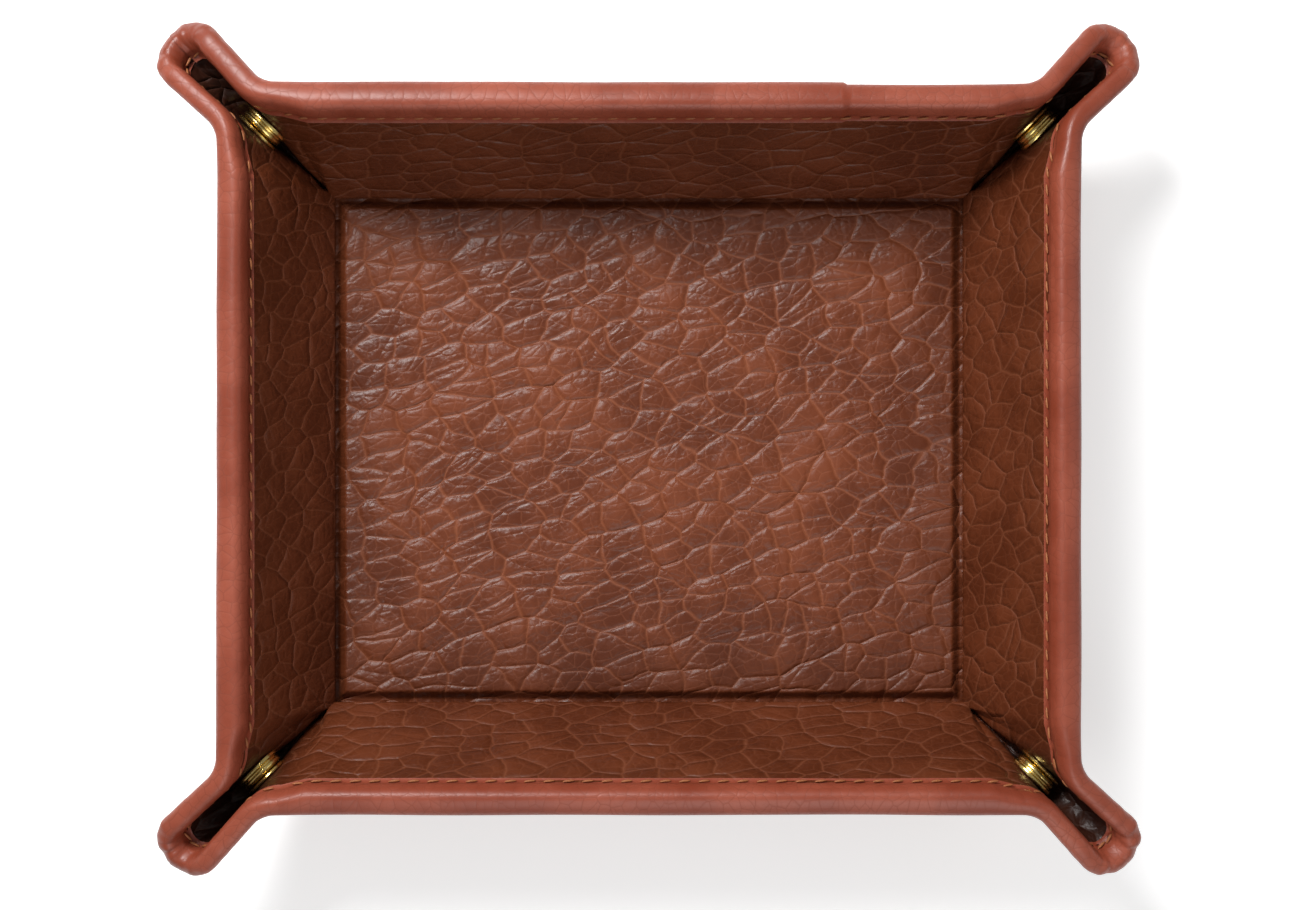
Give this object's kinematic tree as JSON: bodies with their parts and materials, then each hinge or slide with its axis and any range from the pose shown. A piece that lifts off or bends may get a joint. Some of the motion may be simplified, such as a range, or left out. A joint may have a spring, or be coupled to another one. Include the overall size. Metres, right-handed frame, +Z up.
{
  "type": "leather valet tray",
  "caption": "Shallow rectangular leather tray with board-stiffened walls, bound stitched rim and snap-closed pinched corners that open out flat.",
  "frame": {"origin": "centre of the tray's underside, on the surface that it stands on", "axes": "+X along the long side, to the right; +Y to the rear; +Z up"},
  "size_m": [0.2048, 0.1772, 0.0384],
  "materials": {
    "lining": "grained, semi-gloss",
    "cover": "smooth, satin",
    "binding": "smooth, polished",
    "board": "plain pressed fibre board",
    "snap": "polished"
  },
  "bodies": {
    "base": {"floor_cover": "cover", "floor_board": "board", "floor_lining": "lining"},
    "front_wall": {"front_board": "board", "front_lining": "lining", "front_cover": "cover", "front_binding": "binding"},
    "front_left_front_fin": {"fin_front_left_front": "cover", "fin_binding_front_left_front": "binding", "snap_stud_front_left": "snap", "snap_post_front_left": "snap"},
    "front_left_front_fold": {"fold_front_left_front": "cover"},
    "front_right_front_fin": {"fin_front_right_front": "cover", "fin_binding_front_right_front": "binding", "snap_socket_front_right": "snap", "snap_cap_front_right": "snap"},
    "front_right_front_fold": {"fold_front_right_front": "cover"},
    "rear_wall": {"rear_board": "board", "rear_lining": "lining", "rear_cover": "cover", "rear_binding": "binding"},
    "rear_left_rear_fin": {"fin_rear_left_rear": "cover", "fin_binding_rear_left_rear": "binding", "snap_socket_rear_left": "snap", "snap_cap_rear_left": "snap"},
    "rear_left_rear_fold": {"fold_rear_left_rear": "cover"},
    "rear_right_rear_fin": {"fin_rear_right_rear": "cover", "fin_binding_rear_right_rear": "binding", "snap_stud_rear_right": "snap", "snap_post_rear_right": "snap"},
    "rear_right_rear_fold": {"fold_rear_right_rear": "cover"},
    "left_wall": {"left_board": "board", "left_lining": "lining", "left_cover": "cover", "left_binding": "binding"},
    "front_left_left_fin": {"fin_front_left_left": "cover", "fin_binding_front_left_left": "binding", "snap_socket_front_left": "snap", "snap_cap_front_left": "snap"},
    "front_left_left_fold": {"fold_front_left_left": "cover"},
    "rear_left_left_fin": {"fin_rear_left_left": "cover", "fin_binding_rear_left_left": "binding", "snap_stud_rear_left": "snap", "snap_post_rear_left": "snap"},
    "rear_left_left_fold": {"fold_rear_left_left": "cover"},
    "right_wall": {"right_board": "board", "right_lining": "lining", "right_cover": "cover", "right_binding": "binding"},
    "front_right_right_fin": {"fin_front_right_right": "cover", "fin_binding_front_right_right": "binding", "snap_stud_front_right": "snap", "snap_post_front_right": "snap"},
    "front_right_right_fold": {"fold_front_right_right": "cover"},
    "rear_right_right_fin": {"fin_rear_right_right": "cover", "fin_binding_rear_right_right": "binding", "snap_socket_rear_right": "snap", "snap_cap_rear_right": "snap"},
    "rear_right_right_fold": {"fold_rear_right_right": "cover"}
  },
  "joints": [
    {"name": "front_wall_fold", "type": "hinge", "parent": "base", "child": "front_wall", "pos_m": [0, -0.05675, 0.0014], "axis": [1, 0, 0], "range_deg": [0, 61]},
    {"name": "front_left_front_fin_bend", "type": "hinge", "parent": "front_wall", "child": "front_left_front_fin", "pos_m": [-0.0705, -0.05675, 0.0014], "axis": [0.248, 0.4275, -0.8693], "range_deg": [0, 47.23]},
    {"name": "front_left_front_fold_bend", "type": "hinge", "parent": "front_left_front_fin", "child": "front_left_front_fold", "pos_m": [-0.0705, -0.05675, 0.0014], "axis": [-0.5172, -0.6234, 0.5864], "range_deg": [0, 73.79]},
    {"name": "front_right_front_fin_bend", "type": "hinge", "parent": "front_wall", "child": "front_right_front_fin", "pos_m": [0.0705, -0.05675, 0.0014], "axis": [0.248, -0.4275, 0.8693], "range_deg": [0, 47.23]},
    {"name": "front_right_front_fold_bend", "type": "hinge", "parent": "front_right_front_fin", "child": "front_right_front_fold", "pos_m": [0.0705, -0.05675, 0.0014], "axis": [-0.5172, 0.6234, -0.5864], "range_deg": [0, 73.79]},
    {"name": "rear_wall_fold", "type": "hinge", "parent": "base", "child": "rear_wall", "pos_m": [0, 0.05675, 0.0014], "axis": [-1, 0, 0], "range_deg": [0, 61]},
    {"name": "rear_left_rear_fin_bend", "type": "hinge", "parent": "rear_wall", "child": "rear_left_rear_fin", "pos_m": [-0.0705, 0.05675, 0.0014], "axis": [-0.248, 0.4275, 0.8693], "range_deg": [0, 47.23]},
    {"name": "rear_left_rear_fold_bend", "type": "hinge", "parent": "rear_left_rear_fin", "child": "rear_left_rear_fold", "pos_m": [-0.0705, 0.05675, 0.0014], "axis": [0.5172, -0.6234, -0.5864], "range_deg": [0, 73.79]},
    {"name": "rear_right_rear_fin_bend", "type": "hinge", "parent": "rear_wall", "child": "rear_right_rear_fin", "pos_m": [0.0705, 0.05675, 0.0014], "axis": [-0.248, -0.4275, -0.8693], "range_deg": [0, 47.23]},
    {"name": "rear_right_rear_fold_bend", "type": "hinge", "parent": "rear_right_rear_fin", "child": "rear_right_rear_fold", "pos_m": [0.0705, 0.05675, 0.0014], "axis": [0.5172, 0.6234, 0.5864], "range_deg": [0, 73.79]},
    {"name": "left_wall_fold", "type": "hinge", "parent": "base", "child": "left_wall", "pos_m": [-0.0705, 0, 0.0014], "axis": [0, -1, 0], "range_deg": [0, 61]},
    {"name": "front_left_left_fin_bend", "type": "hinge", "parent": "left_wall", "child": "front_left_left_fin", "pos_m": [-0.0705, -0.05675, 0.0014], "axis": [-0.4275, -0.248, 0.8693], "range_deg": [0, 47.23]},
    {"name": "front_left_left_fold_bend", "type": "hinge", "parent": "front_left_left_fin", "child": "front_left_left_fold", "pos_m": [-0.0705, -0.05675, 0.0014], "axis": [0.6234, 0.5172, -0.5864], "range_deg": [0, 73.79]},
    {"name": "rear_left_left_fin_bend", "type": "hinge", "parent": "left_wall", "child": "rear_left_left_fin", "pos_m": [-0.0705, 0.05675, 0.0014], "axis": [0.4275, -0.248, -0.8693], "range_deg": [0, 47.23]},
    {"name": "rear_left_left_fold_bend", "type": "hinge", "parent": "rear_left_left_fin", "child": "rear_left_left_fold", "pos_m": [-0.0705, 0.05675, 0.0014], "axis": [-0.6234, 0.5172, 0.5864], "range_deg": [0, 73.79]},
    {"name": "right_wall_fold", "type": "hinge", "parent": "base", "child": "right_wall", "pos_m": [0.0705, 0, 0.0014], "axis": [0, 1, 0], "range_deg": [0, 61]},
    {"name": "front_right_right_fin_bend", "type": "hinge", "parent": "right_wall", "child": "front_right_right_fin", "pos_m": [0.0705, -0.05675, 0.0014], "axis": [-0.4275, 0.248, -0.8693], "range_deg": [0, 47.23]},
    {"name": "front_right_right_fold_bend", "type": "hinge", "parent": "front_right_right_fin", "child": "front_right_right_fold", "pos_m": [0.0705, -0.05675, 0.0014], "axis": [0.6234, -0.5172, 0.5864], "range_deg": [0, 73.79]},
    {"name": "rear_right_right_fin_bend", "type": "hinge", "parent": "right_wall", "child": "rear_right_right_fin", "pos_m": [0.0705, 0.05675, 0.0014], "axis": [0.4275, 0.248, 0.8693], "range_deg": [0, 47.23]},
    {"name": "rear_right_right_fold_bend", "type": "hinge", "parent": "rear_right_right_fin", "child": "rear_right_right_fold", "pos_m": [0.0705, 0.05675, 0.0014], "axis": [-0.6234, -0.5172, -0.5864], "range_deg": [0, 73.79]}
  ],
  "couplings": [
    {"joint": "front_left_front_fin_bend", "follows": "front_wall_fold", "ratio": 0.77419},
    {"joint": "front_left_front_fold_bend", "follows": "front_wall_fold", "ratio": 1.2097},
    {"joint": "front_right_front_fin_bend", "follows": "front_wall_fold", "ratio": 0.77419},
    {"joint": "front_right_front_fold_bend", "follows": "front_wall_fold", "ratio": 1.2097},
    {"joint": "rear_wall_fold", "follows": "front_wall_fold", "ratio": 1},
    {"joint": "rear_left_rear_fin_bend", "follows": "front_wall_fold", "ratio": 0.77419},
    {"joint": "rear_left_rear_fold_bend", "follows": "front_wall_fold", "ratio": 1.2097},
    {"joint": "rear_right_rear_fin_bend", "follows": "front_wall_fold", "ratio": 0.77419},
    {"joint": "rear_right_rear_fold_bend", "follows": "front_wall_fold", "ratio": 1.2097},
    {"joint": "left_wall_fold", "follows": "front_wall_fold", "ratio": 1},
    {"joint": "front_left_left_fin_bend", "follows": "front_wall_fold", "ratio": 0.77419},
    {"joint": "front_left_left_fold_bend", "follows": "front_wall_fold", "ratio": 1.2097},
    {"joint": "rear_left_left_fin_bend", "follows": "front_wall_fold", "ratio": 0.77419},
    {"joint": "rear_left_left_fold_bend", "follows": "front_wall_fold", "ratio": 1.2097},
    {"joint": "right_wall_fold", "follows": "front_wall_fold", "ratio": 1},
    {"joint": "front_right_right_fin_bend", "follows": "front_wall_fold", "ratio": 0.77419},
    {"joint": "front_right_right_fold_bend", "follows": "front_wall_fold", "ratio": 1.2097},
    {"joint": "rear_right_right_fin_bend", "follows": "front_wall_fold", "ratio": 0.77419},
    {"joint": "rear_right_right_fold_bend", "follows": "front_wall_fold", "ratio": 1.2097}
  ]
}
